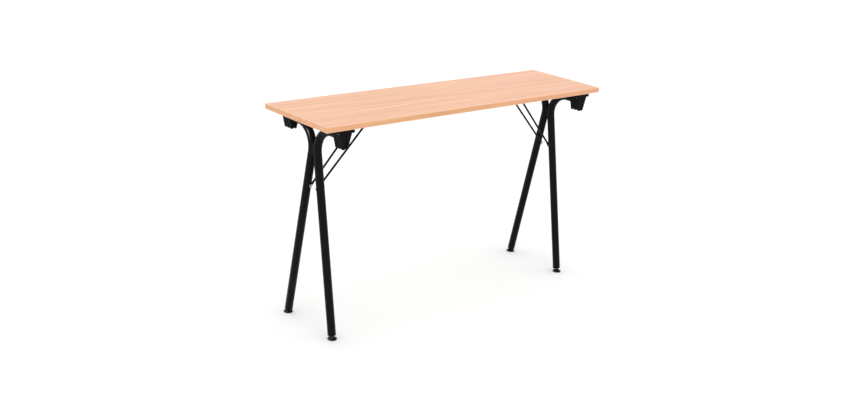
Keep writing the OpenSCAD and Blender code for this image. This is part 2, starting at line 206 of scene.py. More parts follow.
class Finish:
    """A procedural material under construction"""

    def __init__(self, **fixed):
        self.material = bpy.data.materials.new("finish")
        self.material.use_nodes = True
        self.tree = self.material.node_tree
        self.shader = self.tree.nodes["Principled BSDF"]
        for socket, value in fixed.items():
            self.shader.inputs[socket.replace("_", " ")].default_value = value

    def add(self, kind, settings=None, values=None, output=0):
        """Adds a node: its settings first, then the values or links of its sockets"""
        node = self.tree.nodes.new(kind)
        for name, setting in (settings or {}).items():
            if name == "stops":
                self.set_stops(node.color_ramp.elements, setting)
            else:
                setattr(node, name, setting)
        for socket, value in (values or {}).items():
            self.feed(node.inputs[socket], value)
        return Value(self, node.outputs[output])

    def feed(self, socket, value):
        """Links a socket, or sets its value"""
        if isinstance(value, Value):
            self.tree.links.new(value.socket, socket)
        elif socket.type == "RGBA" and len(value) == 3:
            socket.default_value = (*value, 1)
        else:
            socket.default_value = value

    @staticmethod
    def set_stops(elements, stops):
        """Gives a ramp its stops, each a place and a colour"""
        while len(elements) < len(stops):
            elements.new(1)
        for element, (place, tone) in zip(elements, stops):
            element.position, element.color = place, (*tone, 1)

    def place(self, scale=(1, 1, 1), turn=(0, 0, 0)):
        """Object coordinates, stretched and turned"""
        spot = self.add("ShaderNodeTexCoord", output="Object")
        values = {"Vector": spot, "Scale": scale, "Rotation": turn}
        return self.add("ShaderNodeMapping", None, values)

    def height(self):
        """Height above the floor at rest"""
        spot = self.add("ShaderNodeTexCoord", output="Object")
        return self.add("ShaderNodeSeparateXYZ", None, {0: spot}, "Z")

    def noise(self, scale, detail=2.0, stretch=(1, 1, 1), turn=(0, 0, 0), distortion=0.0):
        """Soft noise on object coordinates"""
        values = {
            "Vector": self.place(stretch, turn),
            "Scale": scale,
            "Detail": detail,
            "Distortion": distortion,
        }
        return self.add("ShaderNodeTexNoise", None, values)

    def between(self, value, low, high):
        """0 below the lower value, 1 above the higher one, and smooth between"""
        values = {"Value": value, "From Min": low, "From Max": high}
        settings = {"interpolation_type": "SMOOTHSTEP"}
        return self.add("ShaderNodeMapRange", settings, values)

    def blend(self, mask, first, second):
        """One colour where the mask is 0, the other where it is 1"""
        values = {"Factor": mask, 6: first, 7: second}
        return self.add("ShaderNodeMix", {"data_type": "RGBA"}, values, 2)

    def done(self, tone, roughness, relief, depth, strength=1.0):
        """Feeds the shader and returns the material"""
        values = {"Height": relief, "Distance": depth, "Strength": strength}
        self.feed(self.shader.inputs["Base Color"], tone)
        self.feed(self.shader.inputs["Roughness"], roughness)
        self.feed(self.shader.inputs["Normal"], self.add("ShaderNodeBump", None, values))
        return self.material


def beech_grain(finish, ground, deep, turn=(0, 0, 0)):
    """Colour and masks of beech whose grain runs along X before the turn"""
    rosy = (ground[0], 0.93 * ground[1], 0.98 * ground[2])
    blush = finish.between(finish.noise(1.3, 2, (1.2, 9, 9), turn), 0.40, 0.60)
    bands = finish.between(
        finish.noise(1.6, 3, (1.0, 22, 22), turn, distortion=0.6), 0.42, 0.62
    )
    rings = finish.noise(1.1, 4, (2.2, 130, 130), turn, distortion=0.2)
    lines = finish.between(rings, 0.44, 0.62)
    pores = finish.noise(1, 2, (260, 2600, 2600), turn)
    flecks = finish.between(pores, 0.60, 0.74)
    warm = finish.blend(bands * 0.35, finish.blend(blush, ground, rosy), deep)
    lined = finish.blend(lines * 0.50, warm, deep)
    brown = tuple(0.55 * channel for channel in deep)
    return finish.blend(flecks * 0.55, lined, brown), lines, flecks


def beech_laminate():
    """Satin laminate with lengthwise beech grain and short flecks"""
    finish = Finish(Coat_Weight=0.12, Coat_Roughness=0.28)
    tone, lines, flecks = beech_grain(finish, colours().beech, colours().beech_deep)
    roughness = 0.40 + lines * 0.06 + flecks * 0.10
    relief = 0.6 - flecks * 0.5 + lines * 0.2
    return finish.done(tone, roughness, relief, 0.12 * MM, 0.35)


def beech_band(turn):
    """Printed edge band; its top and bottom arrises are painted lighter than its face, partly as
    scraped corners and partly as a painted highlight above and a painted floor reflection below
    """
    finish = Finish()
    tone, lines, flecks = beech_grain(finish, colours().band, colours().band_deep, turn)
    middle = (TOP_LOW.z + TOP_HIGH.z) / 2
    half = (TOP_HIGH.z - TOP_LOW.z) / 2
    # Mask of the top and bottom arrises, painted lighter: partly the scraped band, partly a painted
    # highlight on the top arris and a painted floor reflection on the bottom one; the roughness
    # rise there is for the scraping
    corner = finish.between(abs(finish.height() - middle), half - 2.0 * MM, half - 0.7 * MM)
    arris_lightening_noise = finish.between(finish.noise(240, 2), 0.2, 0.6)
    tone = finish.blend(corner * (0.55 + arris_lightening_noise * 0.3), tone, colours().band_arris_scrape_and_highlight)
    roughness = 0.44 + lines * 0.08 + corner * 0.08
    return finish.done(tone, roughness, 0.6 - flecks * 0.4 + lines * 0.2, 0.12 * MM, 0.3)


def long_edge_band():
    """Band whose grain runs along the table"""
    return beech_band((0, 0, 0))


def end_edge_band():
    """Band whose grain runs across the table"""
    return beech_band((0, 0, math.pi / 2))


def particle_board():
    """Pressed chips of several tones, with fine dust between them"""
    finish = Finish()
    ground = colours().chips
    values = {"Vector": finish.place((1, 1, 2.2)), "Scale": 320.0}
    chip = finish.add("ShaderNodeTexVoronoi", None, values, "Color")
    shade = finish.add("ShaderNodeRGBToBW", None, {0: chip})
    dust = finish.between(finish.noise(1400, 3), 0.35, 0.7)
    light = tuple(min(1, 1.45 * channel) for channel in ground)
    dark = tuple(0.5 * channel for channel in ground)
    stops = [(0.0, dark), (0.45, ground), (1.0, light)]
    chips = finish.add("ShaderNodeValToRGB", {"stops": stops}, {"Fac": shade})
    tone = finish.blend(dust * 0.35, chips, dark)
    return finish.done(tone, 0.8 + dust * 0.15, shade + dust * 0.4, 0.4 * MM, 0.6)


def backing_sheet():
    """Resin-soaked paper with faint clouds and fibres"""
    finish = Finish()
    ground = colours().backing
    clouds = finish.between(finish.noise(9, 4), 0.35, 0.7)
    fibres = finish.between(finish.noise(1, 3, (420, 1500, 420)), 0.52, 0.72)
    deep = tuple(0.86 * channel for channel in ground)
    dark = tuple(0.62 * channel for channel in ground)
    tone = finish.blend(fibres * 0.35, finish.blend(clouds * 0.6, ground, deep), dark)
    return finish.done(tone, 0.52 + fibres * 0.12, fibres, 0.05 * MM, 0.4)


def powder_coat():
    """Satin black coat with orange peel, and dull scuffs near the floor"""
    finish = Finish(Specular_IOR_Level=0.07)
    ground = colours().coat
    peel = finish.noise(850, 1.5)
    grit = finish.noise(3600, 1)
    clouds = finish.between(finish.noise(14, 3), 0.3, 0.7)
    reach = 1 - finish.between(finish.height(), 0.03, 0.16)
    rubs = finish.between(finish.noise(38, 4, (1, 1, 0.25)), 0.56, 0.70)
    scuffs = reach * rubs
    dusty = tuple(2.6 * channel + 0.012 for channel in ground)
    lifted = tuple(1.35 * channel for channel in ground)
    tone = finish.blend(scuffs * 0.6, finish.blend(clouds, ground, lifted), dusty)
    roughness = 0.17 + peel * 0.10 + scuffs * 0.25
    return finish.done(tone, roughness, peel + grit * 0.35, 0.06 * MM, 0.35)


def wire_lacquer():
    """Thin glossy lacquer that shows the drawn wire's fine lines"""
    finish = Finish(Specular_IOR_Level=0.06)
    ground = colours().wire
    drawn = finish.noise(1, 2, (90, 2600, 90), distortion=0.1)
    clouds = finish.between(finish.noise(60, 3), 0.35, 0.7)
    lifted = tuple(1.8 * channel for channel in ground)
    tone = finish.blend(clouds * 0.7, ground, lifted)
    return finish.done(tone, 0.30 + clouds * 0.10, drawn, 0.05 * MM, 0.5)


def moulded_plastic():
    """Nylon with the fine grain of a spark-eroded mould and faint flow marks"""
    finish = Finish(Specular_IOR_Level=0.05)
    ground = colours().plastic
    grain = finish.noise(2300, 3)
    flow = finish.between(finish.noise(45, 3, (1, 1, 0.35), distortion=1.2), 0.35, 0.7)
    lifted = tuple(1.6 * channel for channel in ground)
    tone = finish.blend(flow * 0.6, ground, lifted)
    return finish.done(tone, 0.46 + grain * 0.16 + flow * 0.06, grain, 0.12 * MM, 0.5)


def pad_plastic():
    """Harder black plastic, rubbed dull and grey at its lower rim"""
    finish = Finish(Specular_IOR_Level=0.12)
    ground = colours().plastic
    grain = finish.noise(1900, 3)
    worn = 1 - finish.between(finish.height(), 0.4 * MM, 2.6 * MM)
    scratches = finish.between(finish.noise(160, 4, (1, 1, 3)), 0.45, 0.66)
    rub = worn * scratches
    grey = tuple(4 * channel + 0.03 for channel in ground)
    tone = finish.blend(rub * 0.6, ground, grey)
    return finish.done(tone, 0.42 + grain * 0.14 + rub * 0.25, grain, 0.10 * MM, 0.45)


def zinc_plate():
    """Bright zinc with small crystals and a faint straw tint"""
    finish = Finish(Metallic=1.0)
    ground = colours().zinc
    values = {"Vector": finish.place(), "Scale": 900.0}
    crystal = finish.add("ShaderNodeTexVoronoi", None, values, "Distance")
    tint = finish.between(finish.noise(120, 3), 0.4, 0.7)
    straw = (ground[0], 0.95 * ground[1], 0.82 * ground[2])
    tone = finish.blend(tint * 0.5, ground, straw)
    roughness = 0.22 + crystal * 0.16 + tint * 0.08
    return finish.done(tone, roughness, crystal, 0.05 * MM, 0.25)


def spring_steel():
    """Tempered strip with rolling lines and a blued tint"""
    finish = Finish(Metallic=1.0)
    ground = colours().spring
    rolled = finish.noise(1, 3, (30, 2600, 2600))
    tint = finish.between(finish.noise(70, 3), 0.35, 0.7)
    blued = (0.72 * ground[0], 0.85 * ground[1], 1.05 * ground[2])
    tone = finish.blend(tint * 0.6, ground, blued)
    return finish.done(tone, 0.26 + rolled * 0.18, rolled, 0.05 * MM, 0.4)


def floor_paint():
    """Plain matt floor"""
    finish = Finish(Specular_IOR_Level=0.1)
    speckle = finish.noise(30, 2)
    ground = colours().floor
    tone = finish.blend(speckle * 0.1, ground, tuple(0.985 * channel for channel in ground))
    return finish.done(tone, 0.85, speckle, 0.05 * MM, 0.05)


FINISHES = {
    "beech_laminate": beech_laminate,
    "beech_edge_band": long_edge_band,
    "particle_board": particle_board,
    "backing_sheet": backing_sheet,
    "black_powder_coat": powder_coat,
    "black_wire": wire_lacquer,
    "black_plastic": moulded_plastic,
    "pad_plastic": pad_plastic,
    "zinc_plate": zinc_plate,
    "spring_steel": spring_steel,
}


def finish_for(maker):
    """The material that a finish function makes, made once"""
    key = "finish_" + maker.__name__
    if key not in bpy.data.materials:
        maker().name = key
    return bpy.data.materials[key]


# ---- modelling ----


def extent(low, high):
    """A closed box between two corners"""
    low, high = Vector(low), Vector(high)
    mesh = bmesh.new()
    size = Matrix.Diagonal((*(high - low), 1))
    bmesh.ops.create_cube(mesh, size=1, matrix=Matrix.Translation((low + high) / 2) @ size)
    return mesh


def rod(radius, start, end, sides=48):
    """A closed cylinder between two points"""
    start, end = Vector(start), Vector(end)
    line = end - start
    turn = line.to_track_quat("Z", "Y").to_matrix().to_4x4()
    mesh = bmesh.new()
    bmesh.ops.create_cone(
        mesh,
        cap_ends=True,
        segments=sides,
        radius1=radius,
        radius2=radius,
        depth=line.length,
        matrix=Matrix.Translation((start + end) / 2) @ turn,
    )
    return mesh


def merged(meshes):
    """One bmesh that holds several, which are used up"""
    whole = bmesh.new()
    for mesh in meshes:
        scrap = bpy.data.meshes.new("scrap")
        mesh.to_mesh(scrap)
        mesh.free()
        whole.from_mesh(scrap)
        bpy.data.meshes.remove(scrap)
    return whole


def scrap_object(mesh):
    """A short-lived object that holds a bmesh"""
    data = bpy.data.meshes.new("scrap")
    mesh.to_mesh(data)
    mesh.free()
    thing = bpy.data.objects.new("scrap", data)
    bpy.context.scene.collection.objects.link(thing)
    return thing


def worked(thing, tools=()):
    """The result of an object's modifiers as a bmesh; the object and its tools are removed"""
    result = bmesh.new()
    result.from_object(thing, bpy.context.evaluated_depsgraph_get())
    for scrap in (thing, *tools):
        data = scrap.data
        bpy.data.objects.remove(scrap)
        bpy.data.meshes.remove(data)
    return result


def carve(mesh, *cutters, operation="DIFFERENCE"):
    """A bmesh with others cut from it or joined to it, one after another"""
    thing = scrap_object(mesh)
    tools = [scrap_object(cutter) for cutter in cutters]
    for tool in tools:
        cut = thing.modifiers.new("cut", "BOOLEAN")
        cut.operation, cut.solver, cut.object = operation, "EXACT", tool
    result = worked(thing, tools)
    bmesh.ops.remove_doubles(result, verts=result.verts, dist=0.002 * MM)
    return result


def thickened(mesh, thick):
    """A sheet given its thickness, half to each side"""
    thing = scrap_object(mesh)
    wall = thing.modifiers.new("wall", "SOLIDIFY")
    wall.thickness, wall.offset, wall.use_even_offset = thick, 0, True
    return worked(thing)


def soften(mesh, width, segments=2, edges=None):
    """Rounds the given edges of a shape, or all its sharp ones"""
    if edges is None:
        mesh.normal_update()
        edges = [
            edge
            for edge in mesh.edges
            if edge.is_manifold and edge.calc_face_angle(0) > SHARP
        ]
    bmesh.ops.bevel(
        mesh,
        geom=edges,
        offset=width,
        offset_type="OFFSET",
        affect="EDGES",
        segments=segments,
        profile=0.5,
        material=-1,
        clamp_overlap=True,
        loop_slide=True,
    )


def moved(mesh, matrix):
    """The same bmesh with a transform on all of it"""
    bmesh.ops.transform(mesh, matrix=matrix, verts=mesh.verts)
    return mesh


def both_sides(mesh):
    """The same bmesh with its mirror image on the front side added"""
    everything = list(mesh.verts) + list(mesh.edges) + list(mesh.faces)
    bmesh.ops.mirror(mesh, geom=everything, matrix=Matrix(), merge_dist=0, axis="Y")
    return mesh


def lathe(outline, sides=40, matrix=Matrix()):
    """A closed turned shape; the outline's (radius, height) points begin and end at the axis"""
    mesh = bmesh.new()
    verts = [mesh.verts.new((radius, 0, height)) for radius, height in outline]
    edges = [mesh.edges.new(pair) for pair in zip(verts, verts[1:])]
    bmesh.ops.spin(
        mesh,
        geom=verts + edges,
        cent=(0, 0, 0),
        axis=(0, 0, 1),
        angle=math.tau,
        steps=sides,
        use_merge=True,
    )
    bmesh.ops.remove_doubles(mesh, verts=mesh.verts, dist=0.001 * MM)
    return moved(mesh, matrix)


def arc(centre, radius, start, end, steps):
    """Points of an arc in an outline, with its angles in degrees"""
    turns = [math.radians(start + (end - start) * step / steps) for step in range(steps + 1)]
    across, up = centre
    return [(across + radius * math.cos(turn), up + radius * math.sin(turn)) for turn in turns]


class Bar:
    """A ring that is carried along a path and leaves the skin of a bar behind it"""

    def __init__(self, mesh, centre, direction, radius, sides):
        self.mesh = mesh
        self.centre = Vector(centre)
        self.direction = Vector(direction).normalized()
        turn = self.direction.to_track_quat("Z", "X").to_matrix().to_4x4()
        place = Matrix.Translation(self.centre) @ turn
        made = bmesh.ops.create_circle(mesh, segments=sides, radius=radius, matrix=place)
        self.hold(made["verts"] + [edge for vert in made["verts"] for edge in vert.link_edges])

    def hold(self, made):
        """Keeps the ring that an operator left at the bar's end"""
        self.verts = [item for item in made if isinstance(item, bmesh.types.BMVert)]
        ring = set(self.verts)
        edges = [item for item in made if isinstance(item, bmesh.types.BMEdge)]
        self.edges = list(dict.fromkeys(edge for edge in edges if ring.issuperset(edge.verts)))

    def straight(self, distance):
        """Carries the ring straight on"""
        self.hold(bmesh.ops.extrude_edge_only(self.mesh, edges=self.edges)["geom"])
        bmesh.ops.translate(self.mesh, vec=self.direction * distance, verts=self.verts)
        self.centre = self.centre + self.direction * distance

    def turn(self, pivot, axis, angle, steps):
        """Carries the ring round a bend"""
        ring = self.verts + self.edges
        made = bmesh.ops.spin(
            self.mesh, geom=ring, cent=pivot, axis=axis, angle=angle, steps=steps
        )
        self.hold(made["geom_last"])
        rotation = Matrix.Rotation(angle, 3, axis)
        self.direction = rotation @ self.direction
        self.centre = Vector(pivot) + rotation @ (self.centre - Vector(pivot))

    def resize(self, factor):
        """Steps the ring in or out at its place"""
        self.hold(bmesh.ops.extrude_edge_only(self.mesh, edges=self.edges)["geom"])
        self.squeeze((factor, factor, factor))

    def squeeze(self, factors):
        """Scales the ring about its centre"""
        space = Matrix.Translation(-self.centre)
        bmesh.ops.scale(self.mesh, vec=factors, space=space, verts=self.verts)

    def close(self):
        """Fills the ring with a face"""
        bmesh.ops.contextual_create(self.mesh, geom=self.edges)


def piece(name, mesh, body, slot, replaced, maker=None):
    """Makes a finished bmesh into a piece that rides on its body and stands for its nodes"""
    bmesh.ops.recalc_face_normals(mesh, faces=mesh.faces)
    data = bpy.data.meshes.new(name)
    mesh.to_mesh(data)
    mesh.free()
    data.shade_smooth()
    data.set_sharp_from_angle(angle=SHARP)
    data.materials.append(finish_for(maker or FINISHES[slot]))
    thing = bpy.data.objects.new(name, data)
    bpy.context.scene.collection.objects.link(thing)
    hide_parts(*replaced)
    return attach(thing, body)


def mirrored(mesh, end, side="rear"):
    """A copy of a right rear shape for an end and a side"""
    return moved(mesh.copy(), Matrix.Diagonal((ENDS[end], SIDES[side], 1, 1)))


def four_corners():
    """Every end with every side"""
    return [(end, side) for end in ENDS for side in SIDES]


def repaint(node, slot):
    """Gives a CAD node its finish"""
    thing = frame["nodes"][node]
    thing.data.materials.clear()
    thing.data.materials.append(finish_for(FINISHES[slot]))


# ---- table top ----


def edge_band(node, outward):
    """An edge band with soft arrises on the side that looks outward"""
    low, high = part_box(node)
    mesh = extent(low, high)
    face = max(mesh.faces, key=lambda item: item.normal.dot(outward))
    level = [edge for edge in face.edges if abs(edge.verts[0].co.z - edge.verts[1].co.z) < MM]
    soften(mesh, sizes().arris, 5, level)
    corners = [edge for edge in mesh.edges if is_corner(edge, outward)]
    soften(mesh, 0.5 * sizes().arris, 3, corners)
    return mesh


def is_corner(edge, outward):
    """Whether an edge stands upright at an outer corner of the board"""
    first, second = (vert.co for vert in edge.verts)
    upright = (first - second).xy.length < 0.01 * MM
    return upright and first.y * outward.y > TOP_HIGH.y - 0.1 * MM


# ---- legs ----


class LegLine:
    """Centre line of the right rear leg: a tangent to its bend, then level into the block"""

    def __init__(self):
        radius = sizes().bend_radius
        self.bend = Vector((FRAME_X, 0, PIVOT_Z - radius))
        self.bend.y = sizes().tube_radius + sizes().weld_gap / 2 + radius
        across, up = FOOT_Y - self.bend.y, self.bend.z
        reach = math.hypot(across, up)
        self.lean = math.atan2(across, up) + math.asin(radius / reach)
        self.run = math.sqrt(reach**2 - radius**2)
        self.foot = Vector((FRAME_X, FOOT_Y, 0))
        self.up = Vector((0, -math.sin(self.lean), math.cos(self.lean)))
        self.frame = Matrix.Translation(self.foot) @ Matrix.Rotation(self.lean, 4, "X")
        self.tube_end = TUBE_HIGH.y


def leg_tube():
    """The right rear tube: hollow at both ends, with slightly rounded rims"""
    line = LegLine()
    outer = sizes().tube_radius
    inner = outer - sizes().tube_wall
    plug_depth, rim_soft, bend_steps = 40 * MM, 0.35 * MM, 30
    mesh = bmesh.new()
    start = line.foot + line.up * (sizes().foot_gap + plug_depth)
    bar = Bar(mesh, start, line.up, inner, sizes().tube_sides)
    bar.close()
    bar.straight(-plug_depth)
    bar.resize(outer / inner)
    rims = list(bar.edges)
    bar.straight(line.run - sizes().foot_gap)
    bar.turn(line.bend, (1, 0, 0), -(math.pi / 2 + line.lean), bend_steps)
    bar.straight(line.tube_end - bar.centre.y)
    rims += bar.edges
    bar.resize(inner / outer)
    bar.straight(-plug_depth / 2)
    bar.close()
    soften(mesh, rim_soft, 2, rims)
    return mesh


def weld_bead():
    """One rippled bead in the groove beside the line where the tubes touch"""
    middle = (WELD_LOW.z + WELD_HIGH.z) / 2
    half = (WELD_HIGH.z - WELD_LOW.z) / 2
    radius, ripples, taper_rate = 3.9 * MM, 14, 4.5
    groove_share = 0.62
    outline = [(0, -half)]
    for ripple in range(ripples):
        for share, swell in ((0.1, 0.90), (0.35, 0.985), (0.6, 1.0), (0.85, 0.96)):
            along = (ripple + share) / ripples
            taper = min(1, taper_rate * math.sqrt(min(along, 1 - along)))
            outline.append((radius * swell * taper, half * (2 * along - 1)))
    outline.append((0, half))
    offset = sizes().tube_radius * groove_share
    return lathe(outline, 20, Matrix.Translation((FRAME_X + offset, 0, middle)))


# ---- stays ----


def stay_span():
    """Run and rise of the right stay, from its bolt to its cross bar"""
    bar_x = STAY_LOW.x + sizes().wire_radius
    bar_z = STAY_HIGH.z - sizes().wire_radius
    return FRAME_X - bar_x, bar_z - BOLT_Z


def eye_side():
    """Distance of the middle of the stay's eye from the table's long middle plane"""
    return INSERT_END - sizes().insert_length - SIDE_GAP - sizes().eye_thick / 2


def press(bar, half_width):
    """Flattens a bar's ring across Y to the thickness of the eye"""
    bar.squeeze((1, 1, half_width / sizes().wire_radius))
    half = sizes().eye_thick / 2
    for vert in bar.verts:
        vert.co.y = bar.centre.y + max(-half, min(half, vert.co.y - bar.centre.y))


def stay_wire():
    """The right stay: one wire with two corners, flattened to an eye at each end"""
    run, rise = stay_span()
    span = math.hypot(run, rise)
    side = eye_side()
    splay = math.atan2(sizes().stay_top_width / 2 - side, span)
    corner = sizes().stay_bend
    reach = corner * math.tan((math.pi / 2 + splay) / 2)
    eye = sizes().eye_radius
    neck, round_from, pressed = 13 * MM, 19 * MM, 0.74
    mesh = bmesh.new()
    half_bar = sizes().stay_top_width / 2 - reach
    bar = Bar(mesh, (span, 0, 0), (0, 1, 0), sizes().wire_radius, 24)
    bar.straight(half_bar)
    bar.turn((span - corner, half_bar, 0), (0, 0, 1), math.pi / 2 + splay, 10)
    bar.straight((bar.centre.x - round_from) / math.cos(splay))
    bar.straight((bar.centre.x - neck) / math.cos(splay))
    bar.direction = Vector((-1, 0, 0))
    slope = side - bar.centre.y
    bmesh.ops.translate(mesh, vec=(0, slope, 0), verts=bar.verts)
    bar.centre.y = side
    press(bar, pressed * eye)
    for turn in range(45, 176, 10):
        angle = math.radians(turn)
        bar.straight(bar.centre.x - eye * math.cos(angle))
        bar.squeeze((1, 1, eye * math.sin(angle) / ring_half(bar)))
    bar.close()
    both_sides(mesh)
    bmesh.ops.remove_doubles(mesh, verts=mesh.verts, dist=0.01 * MM)
    bmesh.ops.recalc_face_normals(mesh, faces=mesh.faces)
    drill = rod(BOLT_RADIUS + RUN_FIT, (0, -side - eye, 0), (0, side + eye, 0))
    mesh = carve(mesh, drill)
    place = Matrix.Translation((FRAME_X, 0, BOLT_Z))
    return moved(mesh, place @ Matrix.Rotation(math.pi + math.atan2(rise, run), 4, "Y"))


def ring_half(bar):
    """Half the height of a bar's ring in Z"""
    return max(vert.co.z for vert in bar.verts) - bar.centre.z


def stay_insert():
    """The right rear threaded insert: a flange with a soft rim, and its sleeve in the tube"""
    face = eye_side() + sizes().eye_thick / 2 + SIDE_GAP
    flange, sleeve, bore = 7.6 * MM, 4.6 * MM, BOLT_RADIUS + SEAT_GAP
    soft, step, floor = 0.5 * MM, 4.7 * MM, 3 * MM
    end, blind = sizes().insert_length, sizes().insert_length - floor
    outline = [(0, blind), (bore, blind), (bore, 0), (flange - soft, 0)]
    outline += arc((flange - soft, soft), soft, -60, 0, 3)
    outline += [(flange, step), (sleeve, step), (sleeve, end), (0, end)]
    place = Matrix.Translation((FRAME_X, face, BOLT_Z)) @ Matrix.Rotation(-math.pi / 2, 4, "X")
    return lathe(outline, 36, place)


def shoulder_screw():
    """The right rear shoulder screw: a low dome head with a hexagon socket"""
    head, height, shoulder, in_insert = 5.4 * MM, 3 * MM, BOLT_RADIUS, 10 * MM
    rim, soft, point = 1.3 * MM, 0.3 * MM, 0.6 * MM
    socket_radius, socket_depth, hexagon = 2 * MM, 1.9 * MM, 6
    flatness, dome_share = 2.2, 0.93
    under = eye_side() - sizes().eye_thick / 2 - SIDE_GAP
    dome_end = math.degrees(math.asin(dome_share / flatness)) - 90
    dome = arc((0, flatness * head), flatness * head, -90, dome_end, 6)
    tip = height + sizes().eye_thick + 2 * SIDE_GAP + in_insert
    outline = dome + [(head, rim), (head, height - soft), (head - soft, height)]
    outline += [(shoulder, height), (shoulder, tip - point), (shoulder - point, tip), (0, tip)]
    socket = rod(socket_radius, (0, 0, -MM), (0, 0, socket_depth), hexagon)
    mesh = carve(lathe(outline, 36), socket)
    place = Matrix.Translation((FRAME_X, under - height, BOLT_Z))
    return moved(mesh, place @ Matrix.Rotation(-math.pi / 2, 4, "X"))


# ---- corner blocks and their screws ----


def block_body():
    """The wedge of a block, with its foot at the origin, and its main sizes"""
    top_x, low_x, top_y, low_y = 45 * MM, 20 * MM, 46 * MM, 42 * MM
    overlap, side_soft, sole_soft = 2 * MM, 2.2 * MM, 1.5 * MM
    height = BLOCK_HIGH.z - BLOCK_LOW.z - sizes().flange_thick
    mesh = extent((-top_x / 2, -top_y / 2, 0), (top_x / 2, top_y / 2, height + overlap))
    share = 1 + overlap / height
    low = [vert for vert in mesh.verts if vert.co.z < MM]
    high = [vert for vert in mesh.verts if vert.co.z > MM]
    wide, deep = low_x + (top_x - low_x) * share, low_y + (top_y - low_y) * share
    bmesh.ops.scale(mesh, vec=(low_x / top_x, low_y / top_y, 1), verts=low)
    bmesh.ops.scale(mesh, vec=(wide / top_x, deep / top_y, 1), verts=high)
    soften(mesh, side_soft, 3, upright_edges(mesh))
    sole = min(mesh.faces, key=lambda face: face.calc_center_median().z)
    soften(mesh, sole_soft, 3, list(sole.edges))
    return mesh, (top_x, low_x, top_y, low_y, height)


def upright_edges(mesh):
    """The edges of a shape that run from its foot to its top"""
    return [edge for edge in mesh.edges if abs(edge.verts[0].co.z - edge.verts[1].co.z) > MM]


def flute(width, depth, height, lean, turn, place):
    """A round-bottomed groove cutter that leans with its face"""
    radius = (width**2 / 4 + depth**2) / (2 * depth)
    runout = 4 * MM
    cutter = rod(radius, (radius - depth, 0, -runout), (radius - depth, 0, height), 40)
    tilt = Matrix.Rotation(turn, 4, "Z") @ Matrix.Translation(place) @ Matrix.Rotation(lean, 4, "Y")
    return moved(cutter, tilt)


def prong_gaps(low_y):
    """Places of the grooves between the three prongs of a block"""
    return (-low_y / 6, low_y / 6)


def block_flutes(top_x, low_x, top_y, low_y, height):
    """Cutters for the flutes of all four faces"""
    width, depth = sizes().flute_width, sizes().flute_depth
    lean_x = math.atan2((top_x - low_x) / 2, height)
    lean_y = math.atan2((top_y - low_y) / 2, height)
    cutters = []
    for turn in (0, math.pi):
        for gap in prong_gaps(low_y):
            cutters.append(flute(width, depth, height, lean_x, turn, (low_x / 2, gap, 0)))
        place = (low_y / 2, 0, 0)
        cutters.append(flute(width, depth, height, lean_y, turn + math.pi / 2, place))
    return merged(cutters)


def prong_slot(width, reach, height):
    """A slot cutter along X with a flared mouth, which rounds the prongs beside it"""
    flare, mouth = 3.6 * MM, 4.4 * MM
    mesh = bmesh.new()
    half = width / 2
    left = arc((-half - flare, mouth), flare, -70, 0, 4)
    outline = [(-half - flare, -MM), *left, (-half, height - half)]
    outline += arc((0, height - half), half, 180, 0, 8)[1:-1]
    outline += [(-across, up) for across, up in reversed(outline[: len(left) + 2])]
    verts = [mesh.verts.new((-reach, across, up)) for across, up in outline]
    face = mesh.faces.new(verts)
    made = bmesh.ops.extrude_face_region(mesh, geom=[face])["geom"]
    far = [item for item in made if isinstance(item, bmesh.types.BMVert)]
    bmesh.ops.translate(mesh, vec=(2 * reach, 0, 0), verts=far)
    bmesh.ops.recalc_face_normals(mesh, faces=mesh.faces)
    return mesh


def corner_block():
    """The right rear block: flange, fluted wedge with a slotted end, tube bore, screw holes"""
    body, form = block_body()
    top_x, _, top_y, low_y, _ = form
    width, slot = sizes().flute_width, sizes().slot_height
    flange_soft, edge_soft, bore_room, hole_depth = 3 * MM, 0.45 * MM, 2.9 * MM, 20 * MM
    body = carve(body, block_flutes(*form))
    gaps = [
        moved(prong_slot(width, top_x, slot), Matrix.Translation((0, gap, 0)))
        for gap in prong_gaps(low_y)
    ]
    cross = moved(prong_slot(width, top_y, slot / 2), Matrix.Rotation(math.pi / 2, 4, "Z"))
    body = carve(body, merged(gaps), cross)
    moved(body, Matrix.Translation((FRAME_X, BLOCK_Y, BLOCK_LOW.z)))
    flange_low = (BLOCK_LOW.x, BLOCK_LOW.y, UNDER_Z - sizes().flange_thick)
    flange = extent(flange_low, BLOCK_HIGH)
    soften(flange, flange_soft, 4, upright_edges(flange))
    mesh = carve(flange, body, operation="UNION")
    start = (FRAME_X, BLOCK_LOW.y - MM, PIVOT_Z)
    bore = rod(TUBE_RADIUS + RUN_FIT, start, (FRAME_X, TUBE_HIGH.y + bore_room, PIVOT_Z))
    holes = screw_holes(block_screw_places(), hole_depth)
    thing = scrap_object(carve(mesh, bore, holes))
    rounding = thing.modifiers.new("rounding", "BEVEL")
    rounding.width, rounding.segments = edge_soft, 2
    rounding.limit_method, rounding.angle_limit = "ANGLE", math.radians(40)
    return worked(thing)


def block_screw_places():
    """Places of the right rear block's four screws"""
    across = BLOCK_SCREW_CORNER.x - SCREW_HEAD - FRAME_X
    deep = BLOCK_SCREW_CORNER.y - SCREW_HEAD - BLOCK_Y
    return [(FRAME_X + i * across, BLOCK_Y + j * deep) for i in (-1, 1) for j in (-1, 1)]


def screw_holes(places, depth):
    """Cutters for the screw holes, from the board's underside down"""
    radius = SCREW_CORE + SEAT_GAP
    return merged(
        [rod(radius, (x, y, UNDER_Z - depth), (x, y, UNDER_Z + MM), 20) for x, y in places]
    )


